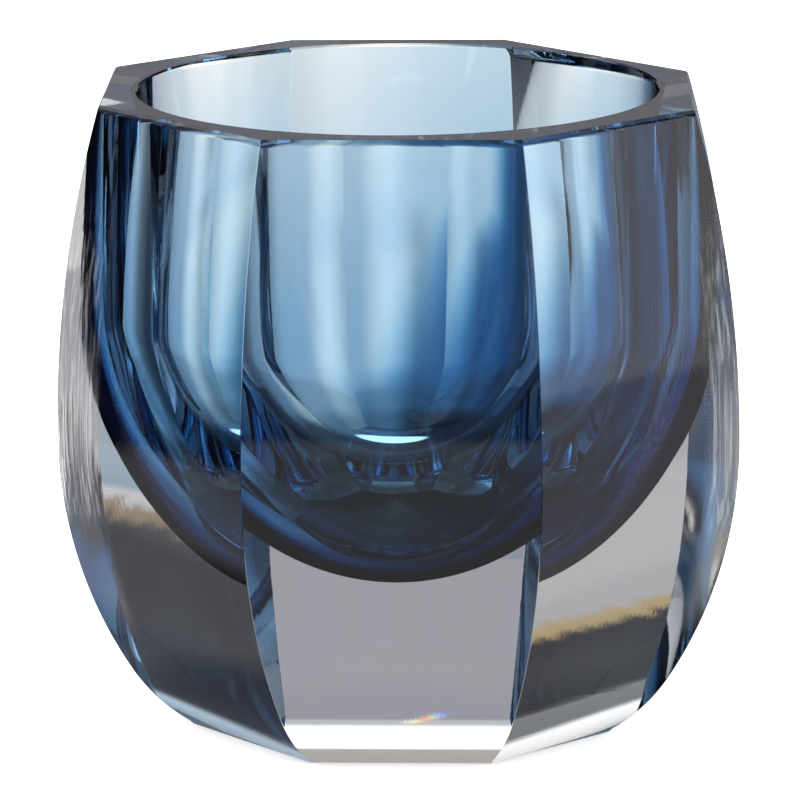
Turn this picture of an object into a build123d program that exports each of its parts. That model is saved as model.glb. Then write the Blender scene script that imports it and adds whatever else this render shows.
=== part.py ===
"""Cut crystal vase: a thick clear crystal casing, cut with eight faces, fused round a blue glass cup.

Millimetres, +Z up. The origin is on the table, under the middle of the opening, and -Y is the front.
Two solids share the whole outside: crystal_casing from the cut faces in to the blue, and blue_cup from
there in to the open cavity.
"""

import math
import os

from build123d import *

# The whole vase
HEIGHT = 146.0
RIM_BEVEL = 0.5  # polished bevel round the outer edge of the flat rim
FOOT_BEVEL = 0.8  # the same round the flat base
LIP_BEVEL = 0.4  # the same round the opening

# One cut face, seen from the side: three arcs that run smoothly into each other
FACES = 8
BELLY_RADIUS = 76.2  # from the axis out to a face, where the vase is widest
BELLY_HEIGHT = 71.0
UPPER_ARC = 277.0  # belly to rim
MIDDLE_ARC = 110.0  # belly down to the heel
HEEL_ARC = 46.0  # heel down to the base
HEEL_HEIGHT = 14.6

# Cutting by hand leaves the faces a little off a true octagon. Faces are counted anticlockwise from
# above, and the first one is the front.
FACE_TURN = (0.0, -1.0, 1.0, -0.5, 0.5, -1.5, 0.5, -2.5)  # degrees about the axis, one for each face
OVAL = 1.6  # the blank was this much out of round, long one way and short the other
OVAL_TOWARDS = -34.0  # degrees from +X, the long way

# Blue cup, outside: a shallow round bottom, a rounder corner, then a nearly straight wall
CUP_BOTTOM = 42.3
CUP_CORNER = 46.0
CUP_WALL_RADIUS = 58.8  # where the wall starts
CUP_WALL_HEIGHT = 92.0
CUP_RIM_RADIUS = 60.6

# Open cavity: the same three stretches, closer to the axis
CAVITY_BOTTOM = 44.0
CAVITY_CORNER = 46.0
CAVITY_WALL_RADIUS = 56.0
CAVITY_WALL_HEIGHT = 95.0
CAVITY_RIM_RADIUS = 59.3

OUTSIDE = 2.0 * BELLY_RADIUS  # further out than any point of the vase


def cut_face(number):
    """Everything behind one cut face, as a long bar whose front side has the face's upright curve."""
    middle_x = BELLY_RADIUS - MIDDLE_ARC
    drop = BELLY_HEIGHT - HEEL_HEIGHT
    heel_x = middle_x + math.sqrt(MIDDLE_ARC**2 - drop**2)
    heel_slope = math.asin(drop / MIDDLE_ARC)
    heel_centre_x = heel_x - HEEL_ARC * math.cos(heel_slope)
    heel_centre_z = HEEL_HEIGHT + HEEL_ARC * math.sin(heel_slope)
    foot_slope = math.asin(heel_centre_z / HEEL_ARC)
    rim_slope = math.asin((HEIGHT - BELLY_HEIGHT) / UPPER_ARC)

    def on_arc(centre_x, centre_z, radius, angle):
        return (centre_x + radius * math.cos(angle), centre_z + radius * math.sin(angle))

    upper_x = BELLY_RADIUS - UPPER_ARC
    foot = on_arc(heel_centre_x, heel_centre_z, HEEL_ARC, -foot_slope)
    heel_middle = on_arc(heel_centre_x, heel_centre_z, HEEL_ARC, -(foot_slope + heel_slope) / 2)
    heel = (heel_x, HEEL_HEIGHT)
    lower_middle = on_arc(middle_x, BELLY_HEIGHT, MIDDLE_ARC, -heel_slope / 2)
    belly = (BELLY_RADIUS, BELLY_HEIGHT)
    upper_middle = on_arc(upper_x, BELLY_HEIGHT, UPPER_ARC, rim_slope / 2)
    rim = on_arc(upper_x, BELLY_HEIGHT, UPPER_ARC, rim_slope)

    with BuildPart() as bar:
        with BuildSketch(Plane.XZ):
            with BuildLine():
                Polyline((-OUTSIDE, HEIGHT), (-OUTSIDE, 0), foot)
                ThreePointArc(foot, heel_middle, heel)
                ThreePointArc(heel, lower_middle, belly)
                ThreePointArc(belly, upper_middle, rim)
                Line(rim, (-OUTSIDE, HEIGHT))
            make_face()
        extrude(amount=OUTSIDE, both=True)

    bearing = number * 360 / FACES - 90
    shift = OVAL * math.cos(math.radians(2 * (bearing - OVAL_TOWARDS)))
    return Rot(0, 0, bearing + FACE_TURN[number]) * Pos(shift, 0, 0) * bar.part


def barrel():
    """The solid outside shape: what all eight faces leave standing, with its rim and foot bevelled."""
    block = cut_face(0)
    for number in range(1, FACES):
        block = block & cut_face(number)
    rim_face = block.faces().sort_by(Axis.Z)[-1]
    block = chamfer(rim_face.edges(), RIM_BEVEL)
    foot_face = block.faces().sort_by(Axis.Z)[0]
    return chamfer(foot_face.edges(), FOOT_BEVEL)


def round_bowl(bottom, corner, wall_radius, wall_height, rim_radius):
    """A solid of revolution up to the rim: bottom arc, corner arc and tapered wall, all tangent."""
    taper = math.atan2(rim_radius - wall_radius, HEIGHT - wall_height)
    corner_x = wall_radius - corner * math.cos(taper)
    corner_z = wall_height + corner * math.sin(taper)
    rise = corner_z - bottom
    bottom_arc = (corner_x**2 + rise**2 - corner**2) / (2 * (rise - corner))
    join = math.atan2(corner_x, bottom + bottom_arc - corner_z)

    def on_bottom(angle):
        return (bottom_arc * math.sin(angle), bottom + bottom_arc * (1 - math.cos(angle)))

    corner_start = join - math.pi / 2
    corner_half = (corner_start - taper) / 2
    corner_middle = (corner_x + corner * math.cos(corner_half), corner_z + corner * math.sin(corner_half))

    with BuildPart() as bowl:
        with BuildSketch(Plane.XZ):
            with BuildLine():
                ThreePointArc((0, bottom), on_bottom(join / 2), on_bottom(join))
                ThreePointArc(on_bottom(join), corner_middle, (wall_radius, wall_height))
                Polyline((wall_radius, wall_height), (rim_radius, HEIGHT), (0, HEIGHT), (0, bottom))
            make_face()
        revolve(axis=Axis.Z)
    return bowl.part


def main():
    cup_outside = round_bowl(CUP_BOTTOM, CUP_CORNER, CUP_WALL_RADIUS, CUP_WALL_HEIGHT, CUP_RIM_RADIUS)
    cavity = round_bowl(
        CAVITY_BOTTOM, CAVITY_CORNER, CAVITY_WALL_RADIUS, CAVITY_WALL_HEIGHT, CAVITY_RIM_RADIUS
    )
    casing = barrel() - cup_outside

    cup = cup_outside - cavity
    rim_circles = cup.edges().filter_by(GeomType.CIRCLE).group_by(Axis.Z)[-1]
    lip = rim_circles.sort_by(SortBy.RADIUS)[0]
    cup = chamfer(lip, LIP_BEVEL)

    os.makedirs("parts", exist_ok=True)
    for node, solid in (("crystal_casing", casing), ("blue_cup", cup)):
        export_step(solid, f"parts/{node}.step")
        box = solid.bounding_box()
        print(node, "volume cm3", round(solid.volume / 1000, 1), "box", box.min, box.max)


main()
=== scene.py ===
"""Looks of the cut crystal vase: clear casing and blue cup as two fused glasses, on a softly lit stage.

Metres, +Z up, -Y the front. Shapes are worked out in millimetres, as in the CAD model, and scaled once.
"""

import math

import bpy
import numpy as np
from mathutils import Matrix, Vector


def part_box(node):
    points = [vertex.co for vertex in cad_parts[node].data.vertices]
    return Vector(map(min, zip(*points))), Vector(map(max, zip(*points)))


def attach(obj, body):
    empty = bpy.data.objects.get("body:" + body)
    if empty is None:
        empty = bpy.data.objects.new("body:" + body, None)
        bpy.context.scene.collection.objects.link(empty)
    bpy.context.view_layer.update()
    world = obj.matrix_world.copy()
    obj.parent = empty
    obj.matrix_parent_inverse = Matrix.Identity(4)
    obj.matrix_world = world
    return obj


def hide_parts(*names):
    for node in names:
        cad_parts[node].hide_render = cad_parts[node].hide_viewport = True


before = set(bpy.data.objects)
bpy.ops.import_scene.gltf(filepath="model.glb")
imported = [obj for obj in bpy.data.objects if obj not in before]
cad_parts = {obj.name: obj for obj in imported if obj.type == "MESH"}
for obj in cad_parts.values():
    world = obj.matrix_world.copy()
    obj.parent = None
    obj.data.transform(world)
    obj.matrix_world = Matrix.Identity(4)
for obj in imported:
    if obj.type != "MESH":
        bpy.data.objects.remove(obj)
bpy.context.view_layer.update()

MM = 0.001

# The vase, as the CAD model has it. Cutting by hand leaves the faces a little off a true octagon. They are
# counted anticlockwise from above, and the first one is the front.
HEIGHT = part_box("crystal_casing")[1].z / MM
FACES = 8
BELLY_RADIUS = 76.2  # from the axis out to a face, where the vase is widest
BELLY_HEIGHT = 71.0
UPPER_ARC = 277.0  # a face's upright curve, belly to rim
MIDDLE_ARC = 110.0  # belly down to the heel
HEEL_ARC = 46.0  # heel down to the base
HEEL_HEIGHT = 14.6
FACE_TURN = (0.0, -1.0, 1.0, -0.5, 0.5, -1.5, 0.5, -2.5)  # degrees about the axis, one for each face
OVAL = 1.6  # how far the vase is out of round, long one way and short the other
OVAL_TOWARDS = -34.0  # degrees from +X, the long way
RIM_BEVEL = 0.5
FOOT_BEVEL = 0.8
LIP_BEVEL = 0.4
CUP = dict(bottom=42.3, corner=46.0, wall_radius=58.8, wall_height=92.0, rim_radius=60.6)
CAVITY = dict(bottom=44.0, corner=46.0, wall_radius=56.0, wall_height=95.0, rim_radius=59.3)

# Details that only this model has
BACK_BEVELS = {3: 3.4, 5: 1.8}  # two faces at the back have a wider rim bevel, this far down
BACK_BEVEL_SLOPE = math.radians(31)
EDGE_ROUNDING = 0.35  # radius of the softened edge between two faces

# How finely the surfaces are drawn
FACE_COLUMNS = 28  # across one cut face
EDGE_COLUMNS = 4  # round the softened edge between two faces
LONG_ARC_ROWS = 60  # up one of the longer stretches of an upright curve
SHORT_ARC_ROWS = 30  # up one of the shorter ones
FUSED_GAP = 0.02  # the two glasses stay this far apart, so that no two faces coincide

# Glass
GLASS_INDEX = 1.52
FUSED_INDEX = 1.0  # where the two glasses are fused, light goes straight on
CUP_COLOUR = (0.0, 0.425, 0.70)
CUP_DENSITY = 200.0  # how strongly the blue glass takes light away, for each metre
RIM_PAINTED_SHADE = (0.12, 0.11, 0.115)  # painted shade: the flat rim is tinted dark, so that it lets less light through than the faces do
FILM = (1.1, 1.1, 1.0)  # how fast the cup darkens towards a grazing view: red, green, blue
FILM_FROM = 0.9  # and the slant at which that starts
WAVE_HEIGHT = 0.03  # faint waves in the blown inside of the cup
WAVE_SCALE = 40.0

# Fine upright marks of the cutting wheel. They are deeper near the front edges of the two side faces,
# where scratches and frost turn the glass a little white.
MARK_HEIGHT = 0.04
MARK_SCALE = (1150, 1150, 12)
FACE_MARKS = 0.05  # how deep the marks are all over, as a share of MARK_HEIGHT
SIDE_MARKS = 1.2  # added to that at the side faces
SCRATCHES = 0.11  # how white the deepest marks are at the side faces
LOWER_SCRATCHES = 0.08  # added to that below the widest part
FROST = 0.05  # how white the glass is between them, in the lower part

# Camera: a long lens that looks a little down on the vase, from a little to its right
CAMERA_DISTANCE = 9.15 * HEIGHT
CAMERA_AZIMUTH = math.radians(2.1)
CAMERA_ELEVATION = math.radians(13.15)
CAMERA_ROLL = math.radians(0.4)
CAMERA_LENS = 261.2
CAMERA_SENSOR = 36.0

# Stage
DOME_RADIUS = 4000.0
FLOOR_HALF = 6000.0
FLOOR_LEVEL = -0.3
FLOOR_GLOW = 0.45
SHADOW_HALF = 3000.0
SHADOW_LEVEL = -0.5
WORLD_STRENGTH = 2.4
SHADOW_TINT = (1.0, 0.57, 0.32)  # how much of red, green and blue the vase's blue shadow takes away
TABLE_WARMTH = (1.0, 0.5, 0.1)  # how much more red, green and blue the warm part of the table gives

# Soft-edged areas painted on the dome, later ones over earlier ones: azimuth range and softness, elevation
# range and softness, all in degrees, and colour. Azimuth 0 is behind the vase and 90 to its right.
SURROUNDINGS = (
    ((-62, 72, 6), (-14, 2, 2), (0.38, 0.38, 0.4)),
    # behind the vase: grey, a bright light above it, warmer further up
    ((-15, 12, 1), (-8, 22, 0.7), (0.335, 0.335, 0.37)),
    ((-15, 12, 1), (21.6, 24, 0.5), (0.55, 0.57, 0.6)),
    ((-15, 12, 1), (23.7, 34, 1), (1.5, 1.5, 1.5)),
    ((-15, 12, 1), (34, 60, 1), (0.5, 0.48, 0.45)),
    # behind, to the left
    ((-62, -15, 2), (-8, 9.5, 0.4), (0.44, 0.44, 0.45)),
    ((-62, -15, 2), (9.5, 25, 0.4), (0.05, 0.05, 0.055)),
    ((-62, -15, 2), (8.2, 10.2, 0.8), (0.46, 0.36, 0.2)),
    ((-62, -15, 2), (25, 34, 2), (0.24, 0.25, 0.26)),
    ((-62, -15, 2), (34.5, 60, 2), (1.4, 1.4, 1.4)),
    # behind, to the right
    ((12, 72, 2), (-12, -2, 0.4), (0.55, 0.55, 0.57)),
    ((12, 72, 2), (-2, 24, 0.4), (0.065, 0.065, 0.07)),
    ((12, 72, 2), (-2.8, -0.8, 0.8), (0.27, 0.21, 0.14)),
    ((12, 72, 2), (15, 38, 4), (0.025, 0.03, 0.045)),
    ((12, 72, 2), (39, 60, 3), (0.6, 0.8, 1.0)),
    # left side, with a dark stand that the left front face mirrors
    ((-135, -62, 5), (-12, 5, 3), (0.22, 0.22, 0.23)),
    ((-135, -62, 5), (5, 30, 3), (0.42, 0.42, 0.43)),
    ((-94, -76, 2), (-13, 30, 0.5), (0.03, 0.03, 0.035)),
    ((-94, -76, 2), (-50, -13, 0.5), (0.56, 0.54, 0.58)),
    # right side, with a light stand that the right front face mirrors
    ((72, 150, 5), (-14, 0, 2), (0.16, 0.15, 0.16)),
    ((72, 150, 5), (0, 30, 2), (0.5, 0.5, 0.52)),
    ((72, 150, 5), (30, 60, 4), (0.15, 0.15, 0.16)),
    ((84, 100, 2), (-50, -6.8, 0.4), (0.85, 0.8, 0.85)),
    ((84, 100, 2), (-6.8, 30, 0.4), (1.5, 1.45, 1.48)),
    # in front
    ((-176, -135, 4), (-25, 45, 3), (0.38, 0.38, 0.4)),
    ((150, 172, 4), (-25, 45, 3), (0.25, 0.25, 0.27)),
)
RAGGED_SCALE = 5.0  # at the sides, the areas' upper and lower edges waver as wheel marks make them
RAGGED_HEIGHT = 4.0

# A small rainbow at the edge of the bright light: azimuth, elevation and colour of its parts
RAINBOW = (
    (-1.74, 22.4, (1.1, 1.0, 0.8)),
    (-1.62, 21.9, (1.2, 0.95, 0.5)),
    (-1.5, 21.3, (1.3, 0.5, 0.3)),
    (-1.4, 20.8, (0.9, 0.8, 0.5)),
    (-1.3, 20.3, (0.35, 0.6, 1.2)),
    (-1.2, 19.7, (0.3, 0.32, 0.6)),
)
RAINBOW_WIDTH = 0.07
RAINBOW_HEIGHT = 0.6

# The bright spot on the table that the cup gathers light into: middle and half sizes in millimetres
SPOT_MIDDLE = (-4.0, 30.0)
SPOT_HALF = (25.0, 5.5)
SPOT_COLOUR = (0.93, 1.0, 1.0)
SPOT_STRENGTH = 3.0


# ---------------------------------------------------------------- shapes


def arc_points(centre, radius, start, end, count):
    """Points (r, z, normal r, normal z) along an arc, from one angle to another."""
    angles = np.linspace(start, end, count)
    out = np.stack([np.cos(angles), np.sin(angles)], axis=1)
    return np.hstack([np.array(centre) + radius * out, out])


def face_profile():
    """The upright curve of a cut face, from the foot bevel to the rim bevel."""
    middle_x = BELLY_RADIUS - MIDDLE_ARC
    drop = BELLY_HEIGHT - HEEL_HEIGHT
    heel_slope = math.asin(drop / MIDDLE_ARC)
    heel_x = middle_x + MIDDLE_ARC * math.cos(heel_slope)
    heel_centre = (heel_x - HEEL_ARC * math.cos(heel_slope), HEEL_HEIGHT + HEEL_ARC * math.sin(heel_slope))
    foot_slope = math.asin((heel_centre[1] - FOOT_BEVEL) / HEEL_ARC)
    rim_slope = math.asin((HEIGHT - RIM_BEVEL - BELLY_HEIGHT) / UPPER_ARC)
    upper_centre = (BELLY_RADIUS - UPPER_ARC, BELLY_HEIGHT)
    heel = arc_points(heel_centre, HEEL_ARC, -foot_slope, -heel_slope, SHORT_ARC_ROWS)
    middle = arc_points((middle_x, BELLY_HEIGHT), MIDDLE_ARC, -heel_slope, 0, LONG_ARC_ROWS)
    upper = arc_points(upper_centre, UPPER_ARC, 0, rim_slope, LONG_ARC_ROWS)
    return np.vstack([heel, middle[1:], upper[1:]])


def bowl_profile(bottom, corner, wall_radius, wall_height, rim_radius, top):
    """A round-bottomed bowl from the middle of its floor up its wall, as in the CAD model."""
    taper = math.atan2(rim_radius - wall_radius, HEIGHT - wall_height)
    corner_centre = (wall_radius - corner * math.cos(taper), wall_height + corner * math.sin(taper))
    rise = corner_centre[1] - bottom
    floor = (corner_centre[0] ** 2 + rise**2 - corner**2) / (2 * (rise - corner))
    join = math.atan2(corner_centre[0], bottom + floor - corner_centre[1])
    floor_arc = arc_points((0, bottom + floor), floor, -math.pi / 2, join - math.pi / 2, LONG_ARC_ROWS)
    corner_arc = arc_points(corner_centre, corner, join - math.pi / 2, -taper, LONG_ARC_ROWS)
    heights = np.linspace(wall_height, top, SHORT_ARC_ROWS)[:, None]
    wall = np.hstack(
        [
            wall_radius + (heights - wall_height) * math.tan(taper),
            heights,
            np.full_like(heights, math.cos(taper)),
            np.full_like(heights, -math.sin(taper)),
        ]
    )
    return np.vstack([floor_arc, corner_arc[1:], wall[1:]])


def face_lines():
    """For each cut face: the angle that it looks towards, and how far it is moved out."""
    lines = []
    for number in range(FACES):
        bearing = number * 360 / FACES - 90
        shift = OVAL * math.cos(math.radians(2 * (bearing - OVAL_TOWARDS)))
        lines.append((math.radians(bearing + FACE_TURN[number]), shift))
    return lines


def outline_columns():
    """One entry per column round the barrel: on a face or an edge, which one, and how far along."""
    columns = []
    for number in range(FACES):
        for step in range(FACE_COLUMNS):
            columns.append(("face", number, step / FACE_COLUMNS))
        for step in range(EDGE_COLUMNS):
            columns.append(("edge", number, step / EDGE_COLUMNS))
    return columns


def corner_centre(lines, number, radius):
    """Middle of the small arc that rounds the edge after a face, at one height."""
    angle_a, shift_a = lines[number]
    angle_b, shift_b = lines[(number + 1) % FACES]
    rows = np.array([[math.cos(angle_a), math.sin(angle_a)], [math.cos(angle_b), math.sin(angle_b)]])
    return np.linalg.solve(rows, [radius + shift_a - EDGE_ROUNDING, radius + shift_b - EDGE_ROUNDING])


def outline(radius, inset=0.0, height=0.0):
    """Points and level normals round the barrel at one height."""
    lines = face_lines()
    for number, reach in BACK_BEVELS.items():
        angle, shift = lines[number]
        above = max(0.0, height - (HEIGHT - reach))
        lines[number] = (angle, shift - above * math.tan(BACK_BEVEL_SLOPE))
    centres = [corner_centre(lines, number, radius - inset) for number in range(FACES)]
    points, normals = [], []
    for kind, number, along in outline_columns():
        angle = lines[number][0]
        here = centres[number]
        if kind == "face":
            before = centres[number - 1]
            out = np.array([math.cos(angle), math.sin(angle)])
            point = before + (here - before) * along + EDGE_ROUNDING * out
        else:
            turn = (lines[(number + 1) % FACES][0] - angle) % (2 * math.pi)
            out = np.array([math.cos(angle + turn * along), math.sin(angle + turn * along)])
            point = here + EDGE_ROUNDING * out
        points.append(point)
        normals.append(out)
    return np.array(points), np.array(normals)


class Skin:
    """Collects patches of a closed surface, with the exact normal of each face's corners."""

    def __init__(self):
        self.corners = []
        self.normals = []
        self.fused = []

    def patch(self, points, normals, fused=False):
        """Adds a band of faces between closed rings of points. It looks the way of its normals."""

        def quads(grid):
            after = np.roll(grid, -1, axis=1)
            return np.stack([grid[:-1], after[:-1], after[1:], grid[1:]], axis=2).reshape(-1, 4, 3)

        corners, corner_normals = quads(points), quads(normals)
        across = np.cross(corners[:, 2] - corners[:, 0], corners[:, 3] - corners[:, 1])
        if np.sum(across * corner_normals[:, 0]) < 0:
            corners, corner_normals = corners[:, ::-1], corner_normals[:, ::-1]
        self.corners.append(corners)
        self.normals.append(corner_normals)
        self.fused.append(np.full(len(corners), fused))

    def mesh_object(self, name, material):
        """The finished mesh. Each face's refraction attribute tells the material how it bends light."""
        corners = np.concatenate(self.corners)
        normals = np.concatenate(self.normals)
        normals /= np.linalg.norm(normals, axis=2, keepdims=True)
        places, used = np.unique(np.round(corners.reshape(-1, 3), 5), axis=0, return_inverse=True)
        used = used.reshape(-1, 4)
        keep = used != np.roll(used, 1, axis=1)
        faces = [row[mask] for row, mask in zip(used, keep)]
        mesh = bpy.data.meshes.new(name)
        mesh.from_pydata(places * MM, [], faces)
        mesh.polygons.foreach_set("use_smooth", [True] * len(mesh.polygons))
        mesh.normals_split_custom_set(normals[keep])
        index = np.where(np.concatenate(self.fused), FUSED_INDEX, GLASS_INDEX)
        refraction = mesh.attributes.new("refraction", "FLOAT", "FACE")
        refraction.data.foreach_set("value", index.astype(np.float32))
        mesh.materials.append(material)
        body = bpy.data.objects.new(name, mesh)
        bpy.context.scene.collection.objects.link(body)
        return body


def turned_rings(profile, angles, inward=False):
    """A profile of (r, z, normal r, normal z) turned round the axis."""
    ring = np.stack([np.cos(angles), np.sin(angles)], axis=1)
    points = np.zeros((len(profile), len(angles), 3))
    normals = np.zeros_like(points)
    for row, (radius, height, out, up) in enumerate(profile):
        points[row, :, :2] = radius * ring
        points[row, :, 2] = height
        normals[row, :, :2] = out * ring
        normals[row, :, 2] = up
    return points, -normals if inward else normals


def tilt_back_bevels(normals, sideways, height):
    """Turns the normals of one ring upwards where it runs over a wider bevel at the back."""
    for column, (kind, number, _) in enumerate(outline_columns()):
        if kind == "face" and number in BACK_BEVELS and height >= HEIGHT - BACK_BEVELS[number]:
            normals[column, :2] = sideways[column] * math.cos(BACK_BEVEL_SLOPE)
            normals[column, 2] = math.sin(BACK_BEVEL_SLOPE)


def barrel_rings():
    """The cut faces, foot bevel and rim bevel, as rings from the base up to the flat rim."""
    profile = face_profile()
    foot, rim = profile[0], profile[-1]
    tilt = math.sqrt(0.5)
    rings = [(foot[0], 0.0, FOOT_BEVEL, tilt, -tilt), (foot[0], foot[1], 0.0, tilt, -tilt)]
    rings += [(radius, height, 0.0, out, up) for radius, height, out, up in profile]
    rings += [(rim[0], rim[1], 0.0, tilt, tilt), (rim[0], HEIGHT, RIM_BEVEL, tilt, tilt)]
    points, normals = [], []
    for radius, height, inset, out, up in rings:
        flat, sideways = outline(radius, inset, height)
        ring_normals = np.column_stack([sideways * out, np.full(len(flat), up)])
        if inset < RIM_BEVEL:
            tilt_back_bevels(ring_normals, sideways, height)
        points.append(np.column_stack([flat, np.full(len(flat), height)]))
        normals.append(ring_normals)
    return np.array(points), np.array(normals)


def column_angles():
    """Angles of the columns, taken where the barrel is widest, so that rings of both kinds line up."""
    flat, _ = outline(BELLY_RADIUS)
    return np.arctan2(flat[:, 1], flat[:, 0])


def flat_ring(inner, outer, height, up, steps=5):
    """A flat band between two rings of points."""
    shares = np.linspace(0, 1, steps)[:, None, None]
    flat = inner[None, :, :2] * (1 - shares) + outer[None, :, :2] * shares
    points = np.concatenate([flat, np.full(flat.shape[:2] + (1,), height)], axis=2)
    normals = np.zeros_like(points)
    normals[..., 2] = up
    return points, normals


def cup_side(offset):
    """The cup's outside, moved out by an offset, for the face that it shares with the casing."""
    profile = bowl_profile(**CUP, top=HEIGHT)
    profile[:, :2] += profile[:, 2:] * offset
    profile[-1, 1] = HEIGHT
    profile[0, 0] = 0
    return profile


def make_casing(material):
    """The clear piece: cut faces, bevels, flat rim, flat base and the hollow that the cup fills."""
    skin = Skin()
    points, normals = barrel_rings()
    skin.patch(points, normals)
    inner, inner_normals = turned_rings(cup_side(FUSED_GAP / 2), column_angles(), inward=True)
    skin.patch(inner, inner_normals, fused=True)
    skin.patch(*flat_ring(inner[-1], points[-1], HEIGHT, 1))
    skin.patch(*flat_ring(points[0] * 0, points[0], 0.0, -1))
    return skin.mesh_object("crystal_casing_glass", material)


def make_cup(material):
    """The blue piece: fused outside, open cavity, and the bevelled lip between them."""
    skin = Skin()
    points, normals = turned_rings(cup_side(-FUSED_GAP / 2), column_angles())
    skin.patch(points, normals, fused=True)
    inside = bowl_profile(**CAVITY, top=HEIGHT - LIP_BEVEL)
    skin.patch(*turned_rings(inside, column_angles(), inward=True))
    lip_radius = inside[-1, 0]
    tilt = math.sqrt(0.5)
    lip = [(lip_radius, HEIGHT - LIP_BEVEL, -tilt, tilt), (lip_radius + LIP_BEVEL, HEIGHT, -tilt, tilt)]
    bevel, bevel_normals = turned_rings(lip, column_angles())
    skin.patch(bevel, bevel_normals)
    skin.patch(*flat_ring(bevel[-1], points[-1], HEIGHT, 1, steps=2))
    return skin.mesh_object("blue_cup_glass", material)


# ---------------------------------------------------------------- materials


class Pattern:
    """A new material, with short names for arithmetic in it."""

    def __init__(self, name):
        self.material = bpy.data.materials.new(name)
        self.material.use_nodes = True
        self.nodes = self.material.node_tree.nodes
        self.links = self.material.node_tree.links
        self.shader = self.nodes["Principled BSDF"]
        self.output = self.nodes["Material Output"]

    def math(self, operation, *values):
        """One sum. Values are numbers or sockets."""
        node = self.nodes.new("ShaderNodeMath")
        node.operation = operation
        for socket, value in zip(node.inputs, values):
            if isinstance(value, (int, float)):
                socket.default_value = value
            else:
                self.links.new(value, socket)
        return node.outputs[0]

    def add(self, *values):
        total = values[0]
        for value in values[1:]:
            total = self.math("ADD", total, value)
        return total

    def times(self, *values):
        total = values[0]
        for value in values[1:]:
            total = self.math("MULTIPLY", total, value)
        return total

    def less(self, value, amount):
        return self.math("SUBTRACT", value, amount)

    def over(self, value, limit):
        """How far a value is above a limit, and 0 below it."""
        return self.math("MAXIMUM", self.less(value, limit), 0.0)

    def size(self, value):
        """A value without its sign."""
        return self.math("ABSOLUTE", value)

    def far(self, x, y):
        """Distance from the middle, squared."""
        return self.add(self.times(x, x), self.times(y, y))

    def step(self, value, start, end):
        """0 up to start, 1 from end on, smooth between. Falls where end is below start."""
        node = self.nodes.new("ShaderNodeMapRange")
        node.interpolation_type = "SMOOTHSTEP"
        self.links.new(value, node.inputs["Value"])
        node.inputs["From Min"].default_value = min(start, end)
        node.inputs["From Max"].default_value = max(start, end)
        node.inputs["To Min"].default_value = 0.0 if start < end else 1.0
        node.inputs["To Max"].default_value = 1.0 if start < end else 0.0
        return node.outputs["Result"]

    def window(self, value, low, high, soft):
        """1 between low and high, 0 outside, with soft edges."""
        rising = self.step(value, low - soft, low + soft)
        falling = self.step(value, high + soft, high - soft)
        return self.times(rising, falling)

    def hump(self, value, middle, width):
        """1 at the middle, and down to nothing on both sides."""
        away = self.times(self.less(value, middle), 1.0 / width)
        return self.math("EXPONENT", self.times(away, away, -1.0))

    def mix(self, share, first, second):
        """The first colour where the share is 0, the second where it is 1."""
        node = self.nodes.new("ShaderNodeMix")
        node.data_type = "RGBA"
        node.clamp_factor = True
        self.links.new(share, node.inputs[0])
        for socket, value in ((node.inputs[6], first), (node.inputs[7], second)):
            if isinstance(value, tuple):
                socket.default_value = (*value, 1)
            else:
                self.links.new(value, socket)
        return node.outputs[2]

    def colour(self, channels):
        """One colour out of three values: red, green, blue."""
        node = self.nodes.new("ShaderNodeCombineColor")
        for socket, value in zip(node.inputs, channels):
            self.links.new(value, socket)
        return node.outputs["Color"]

    def place(self):
        """Position on the object as one vector, in metres."""
        return self.nodes.new("ShaderNodeTexCoord").outputs["Object"]

    def split(self, vector):
        """A vector's x, y and z."""
        node = self.nodes.new("ShaderNodeSeparateXYZ")
        self.links.new(vector, node.inputs[0])
        return node.outputs["X"], node.outputs["Y"], node.outputs["Z"]

    def millimetres(self):
        """Position on the object as x, y and z in millimetres."""
        return [self.times(part, 1 / MM) for part in self.split(self.place())]

    def noise(self, vector, scale, detail):
        node = self.nodes.new("ShaderNodeTexNoise")
        node.inputs["Scale"].default_value = scale
        node.inputs["Detail"].default_value = detail
        self.links.new(vector, node.inputs["Vector"])
        return node.outputs[0]

    def relief(self, height, depth):
        """Lets the shader show a height as relief of the given depth in millimetres."""
        node = self.nodes.new("ShaderNodeBump")
        node.inputs["Distance"].default_value = depth * MM
        self.links.new(height, node.inputs["Height"])
        self.links.new(node.outputs[0], self.shader.inputs["Normal"])

    def glow(self, colour, strength):
        """An emission shader. Colour and strength are values or sockets."""
        node = self.nodes.new("ShaderNodeEmission")
        for socket, value in ((node.inputs["Color"], colour), (node.inputs["Strength"], strength)):
            if isinstance(value, tuple):
                socket.default_value = (*value, 1)
            elif isinstance(value, float):
                socket.default_value = value
            else:
                self.links.new(value, socket)
        return node.outputs[0]

    def replace_shader(self, surface):
        """Puts another surface shader in the place of the first one."""
        self.nodes.remove(self.shader)
        self.links.new(surface, self.output.inputs["Surface"])


def glass_pattern(name):
    """Clear glass, which bends light as each face's refraction attribute says."""
    p = Pattern(name)
    p.shader.inputs["Base Color"].default_value = (1, 1, 1, 1)
    p.shader.inputs["Roughness"].default_value = 0.0
    p.shader.inputs["IOR"].default_value = GLASS_INDEX
    p.shader.inputs["Transmission Weight"].default_value = 1.0
    refraction = p.nodes.new("ShaderNodeAttribute")
    refraction.attribute_name = "refraction"
    p.links.new(refraction.outputs["Fac"], p.shader.inputs["IOR"])
    return p


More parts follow.
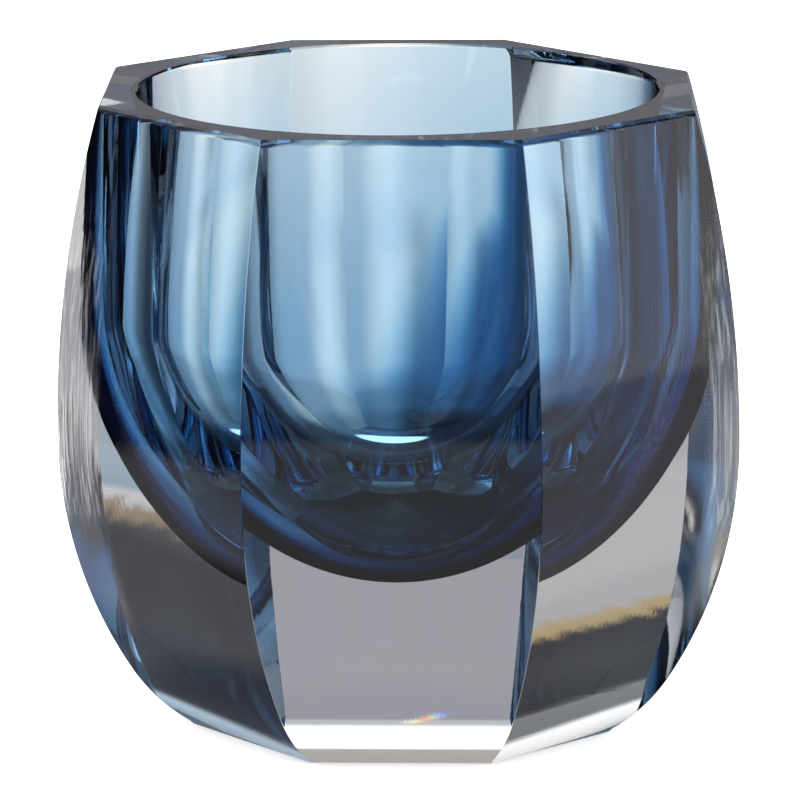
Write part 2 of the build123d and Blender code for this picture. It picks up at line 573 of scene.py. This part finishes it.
def crystal_material():
    """Clear crystal with the cutting wheel's marks on its outside, and painted shade on its flat rim."""
    p = glass_pattern("clear_crystal")
    x, y, z = p.millimetres()

    # The front edges of the two side faces
    side_face = p.step(p.add(p.times(p.size(x), 0.56), p.times(p.size(y), -1.0)), -3, 4)
    front_edge = p.times(side_face, p.step(y, -10, -20))
    marked = p.times(front_edge, p.step(z, 130, 100), p.step(z, 45, 65))

    # Fine upright marks, on the outside only
    stretched = p.nodes.new("ShaderNodeMapping")
    stretched.inputs["Scale"].default_value = MARK_SCALE
    p.links.new(p.place(), stretched.inputs["Vector"])
    marks = p.noise(stretched.outputs[0], 1.0, 3.0)
    outside = p.step(p.math("SQRT", p.far(x, y)), 61.5, 62.5)
    depth = p.times(outside, p.add(FACE_MARKS, p.times(marked, SIDE_MARKS)))
    p.relief(p.times(marks, depth), MARK_HEIGHT)

    # Scratches and frost let less light into the glass
    whiteness = p.add(SCRATCHES, p.times(p.step(z, 95, 75), LOWER_SCRATCHES))
    scratched = p.times(marked, p.step(marks, 0.42, 0.75), whiteness)
    frosted = p.times(front_edge, p.step(z, 22, 38), p.step(z, 100, 70), FROST)
    clear = p.less(1.0, p.add(scratched, frosted))
    p.links.new(clear, p.shader.inputs["Transmission Weight"])

    # Painted shade: the flat rim is tinted dark
    painted_rim_shade = p.step(z, HEIGHT - 0.1, HEIGHT - 0.02)
    p.links.new(p.mix(painted_rim_shade, (1, 1, 1), RIM_PAINTED_SHADE), p.shader.inputs["Base Color"])
    return p.material


def cup_material():
    """Blue glass with faint waves, a little deeper in colour where it is seen at a grazing angle."""
    p = glass_pattern("blue_glass")
    p.relief(p.noise(p.place(), WAVE_SCALE, 1.0), WAVE_HEIGHT)

    weight = p.nodes.new("ShaderNodeLayerWeight")
    weight.inputs["Blend"].default_value = 0.5
    facing = weight.outputs["Facing"]
    slant = p.math("DIVIDE", facing, p.math("MAXIMUM", p.less(1.0, facing), 0.05))
    slant = p.over(slant, FILM_FROM)
    film = p.colour([p.math("EXPONENT", p.times(slant, -strength)) for strength in FILM])
    p.links.new(film, p.shader.inputs["Base Color"])

    volume = p.nodes.new("ShaderNodeVolumeAbsorption")
    volume.inputs["Color"].default_value = (*CUP_COLOUR, 1)
    volume.inputs["Density"].default_value = CUP_DENSITY
    p.links.new(volume.outputs["Volume"], p.output.inputs["Volume"])
    return p.material


# ---------------------------------------------------------------- stage, light, camera


def table_colour(p, turn, rise):
    """The white table as the glass shows it, by azimuth and elevation in degrees."""
    level = p.add(
        0.97,
        # brighter behind the vase, most of all in a streak a little to the left
        p.times(p.window(turn, -15, 25, 4), 0.18),
        p.times(p.hump(turn, -4.5, 6.0), p.step(rise, -20, -26), 0.2),
        p.times(p.window(turn, -8, 14, 4), p.window(rise, -36, -31, 1), 0.1),
        # and darker in a streak to the right
        p.times(p.hump(turn, 9, 5), p.step(rise, -27, -30), -0.3),
    )
    left_end = p.add(1.0, p.times(p.step(turn, -36, -58), -0.75))
    right_end = p.add(1.0, p.times(p.step(turn, 24, 46), -0.65))
    # Painted light and shade on the table, by elevation: a little darker far off, and darker close under
    # the vase, in its shade
    painted_table_shade = p.add(
        1.06,
        p.times(p.step(rise, -26, -22), -0.12),
        p.times(p.step(rise, -22, -14), -0.1),
        p.times(p.step(rise, -38, -42), -0.25),
        p.times(p.step(rise, -54, -64), -0.4),
    )
    level = p.times(level, left_end, right_end, painted_table_shade)
    warmth = p.times(p.window(turn, -15, 26, 6), p.add(0.25, p.times(p.step(rise, -29, -33), 0.3)))
    warmth = p.times(warmth, p.step(rise, -18, -25))
    return p.colour([p.times(level, p.math("EXPONENT", p.times(warmth, part))) for part in TABLE_WARMTH])


def ragged_rise(p, turn, rise):
    """The elevation with a waver that grows towards the sides."""
    waver = p.nodes.new("ShaderNodeTexNoise")
    waver.noise_dimensions = "1D"
    waver.inputs["Scale"].default_value = RAGGED_SCALE
    waver.inputs["Detail"].default_value = 4.0
    p.links.new(turn, waver.inputs["W"])
    to_the_side = p.step(p.size(turn), 14, 20)
    return p.add(rise, p.times(p.less(waver.outputs[0], 0.5), to_the_side, RAGGED_HEIGHT))


def make_dome():
    """What the glass shows of the studio, table included, by direction. Camera and floor don't see it."""
    radius = DOME_RADIUS * MM
    centre = (0, 0, HEIGHT * MM / 2)
    bpy.ops.mesh.primitive_uv_sphere_add(segments=64, ring_count=32, radius=radius, location=centre)
    dome = bpy.context.object
    dome.name = "studio_dome"
    p = Pattern("studio_dome")
    away = p.nodes.new("ShaderNodeVectorMath")
    away.operation = "NORMALIZE"
    p.links.new(p.place(), away.inputs[0])
    x, y, z = p.split(away.outputs[0])
    turn = p.times(p.math("ARCTAN2", x, y), 180 / math.pi)
    rise = p.times(p.math("ARCSINE", z), 180 / math.pi)

    # The room, dark below and lighter above, then the table behind the vase
    colour = p.mix(p.step(rise, -12, -4), (0.09, 0.09, 0.11), (0.3, 0.3, 0.31))
    table_share = p.times(p.window(turn, -62, 72, 6), p.step(rise, -12, -16))
    colour = p.mix(table_share, colour, table_colour(p, turn, rise))
    ragged = ragged_rise(p, turn, rise)
    for (left, right, soft_turn), (low, high, soft_rise), paint in SURROUNDINGS:
        share = p.times(p.window(turn, left, right, soft_turn), p.window(ragged, low, high, soft_rise))
        colour = p.mix(share, colour, paint)
    for middle, height, paint in RAINBOW:
        share = p.times(p.hump(turn, middle, RAINBOW_WIDTH), p.hump(rise, height, RAINBOW_HEIGHT))
        colour = p.mix(share, colour, paint)

    # Straight in front: a dark room, and the table below it
    dark_front = p.times(p.step(p.size(turn), 172, 175), p.window(rise, -24, 45, 4))
    colour = p.mix(dark_front, colour, (0.12, 0.12, 0.13))
    near_front = p.times(p.step(p.size(turn), 160, 170), p.window(rise, -80, -9, 0.6))
    colour = p.mix(near_front, colour, (0.6, 0.6, 0.6))

    p.replace_shader(p.glow(colour, 1.0))
    dome.data.materials.append(p.material)
    dome.visible_camera = False
    dome.visible_diffuse = False
    dome.visible_shadow = False


def flat_sheet(name, half, level, material):
    """A level square round the middle of the scene, sizes in millimetres."""
    corners = [(-half, -half, level), (half, -half, level), (half, half, level), (-half, half, level)]
    mesh = bpy.data.meshes.new(name)
    mesh.from_pydata(np.array(corners) * MM, [], [(0, 1, 2, 3)])
    mesh.materials.append(material)
    sheet = bpy.data.objects.new(name, mesh)
    bpy.context.scene.collection.objects.link(sheet)
    return sheet


def make_table_shadow():
    """A clear sheet under the vase, seen only through the glass, tinted where its blue shadow falls."""
    p = Pattern("table_shadow")
    x, y, _ = p.millimetres()

    # The blue shadow falls back and to the right
    near = p.times(p.step(x, 310, 240), p.step(y, -40, 5))
    far_side = p.add(y, p.times(x, -0.5))
    fading = p.add(1.0, p.times(p.step(x, 60, 160), -0.25))
    core = p.times(p.step(x, -70, 45), p.step(far_side, 188, 105), fading, near)
    veil = p.add(p.times(p.step(x, -120, 80), 0.4), p.times(p.step(x, 80, 260), 0.3))
    depth = p.add(p.times(core, 3.2), p.times(veil, near))

    # Under the base it is darker still, but less so at the back on the left
    lit_side = p.times(p.step(y, 12, 35), p.step(x, 25, -5))
    radius = p.math("SQRT", p.far(x, y))
    contact = p.times(p.step(radius, 82, 60), p.add(2.2, p.times(lit_side, -1.8)))
    under = p.add(contact, p.times(core, p.step(y, 130, 80), 0.3))

    channels = []
    for part in SHADOW_TINT:
        dimming = p.add(p.times(depth, part), under)
        channels.append(p.math("EXPONENT", p.times(dimming, -1.0)))
    clear = p.nodes.new("ShaderNodeBsdfTransparent")
    p.links.new(p.colour(channels), clear.inputs["Color"])

    # The spot of light shines from the table itself
    spot_x = p.times(p.less(x, SPOT_MIDDLE[0]), 1 / SPOT_HALF[0])
    spot_y = p.times(p.less(y, SPOT_MIDDLE[1]), 1 / SPOT_HALF[1])
    in_spot = p.step(p.far(spot_x, spot_y), 1.25, 0.75)
    both = p.nodes.new("ShaderNodeAddShader")
    p.links.new(clear.outputs[0], both.inputs[0])
    p.links.new(p.glow(SPOT_COLOUR, p.times(in_spot, SPOT_STRENGTH)), both.inputs[1])
    p.replace_shader(both.outputs[0])

    sheet = flat_sheet("table_shadow", SHADOW_HALF, SHADOW_LEVEL, p.material)
    sheet.visible_camera = False
    sheet.visible_diffuse = False
    sheet.visible_shadow = False


def make_floor():
    """The pale floor that the camera sees. The glass shows the dome's table instead."""
    p = Pattern("pale_floor")
    p.shader.inputs["Base Color"].default_value = (0.9, 0.9, 0.9, 1)
    p.shader.inputs["Emission Color"].default_value = (1, 1, 1, 1)
    p.shader.inputs["Emission Strength"].default_value = FLOOR_GLOW
    p.shader.inputs["Roughness"].default_value = 0.9
    p.shader.inputs["Specular IOR Level"].default_value = 0.0
    floor = flat_sheet("floor", FLOOR_HALF, FLOOR_LEVEL, p.material)
    floor.visible_transmission = False
    floor.visible_glossy = False


def make_world():
    """Even white light from everywhere, which is all that the floor and the background need."""
    world = bpy.data.worlds.new("studio")
    world.use_nodes = True
    background = world.node_tree.nodes["Background"]
    background.inputs["Color"].default_value = (1, 1, 1, 1)
    background.inputs["Strength"].default_value = WORLD_STRENGTH
    bpy.context.scene.world = world


def make_camera():
    """The photo's view of the vase, from its azimuth and elevation round the vase's middle."""
    azimuth, elevation = CAMERA_AZIMUTH, CAMERA_ELEVATION
    right = Vector((math.cos(azimuth), math.sin(azimuth), 0))
    level_back = Vector((math.sin(azimuth), -math.cos(azimuth), 0))
    back = level_back * math.cos(elevation) + Vector((0, 0, math.sin(elevation)))
    up = back.cross(right)
    target = Vector((0, 0, HEIGHT * MM / 2))
    camera = bpy.data.objects.new("camera", bpy.data.cameras.new("camera"))
    camera.data.lens = CAMERA_LENS
    camera.data.sensor_width = CAMERA_SENSOR
    camera.data.clip_start = 0.05
    camera.data.clip_end = 50.0
    place = Matrix.Translation(target + back * CAMERA_DISTANCE * MM)
    facing = Matrix((right, up, back)).transposed().to_4x4()
    camera.matrix_world = place @ facing @ Matrix.Rotation(-CAMERA_ROLL, 4, "Z")
    bpy.context.scene.collection.objects.link(camera)
    bpy.context.scene.camera = camera


# ---------------------------------------------------------------- put together

make_camera()
crystal = crystal_material()
blue = cup_material()
casing = make_casing(crystal)
cup = make_cup(blue)
for piece, node, slot in ((casing, "crystal_casing", "clear_crystal"), (cup, "blue_cup", "blue_glass")):
    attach(piece, "root")
    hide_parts(node)

make_floor()
make_dome()
make_table_shadow()
make_world()

scene = bpy.context.scene
scene.cycles.max_bounces = 40
scene.cycles.transmission_bounces = 40
scene.cycles.glossy_bounces = 12
scene.cycles.transparent_max_bounces = 16
scene.view_settings.view_transform = "Standard"
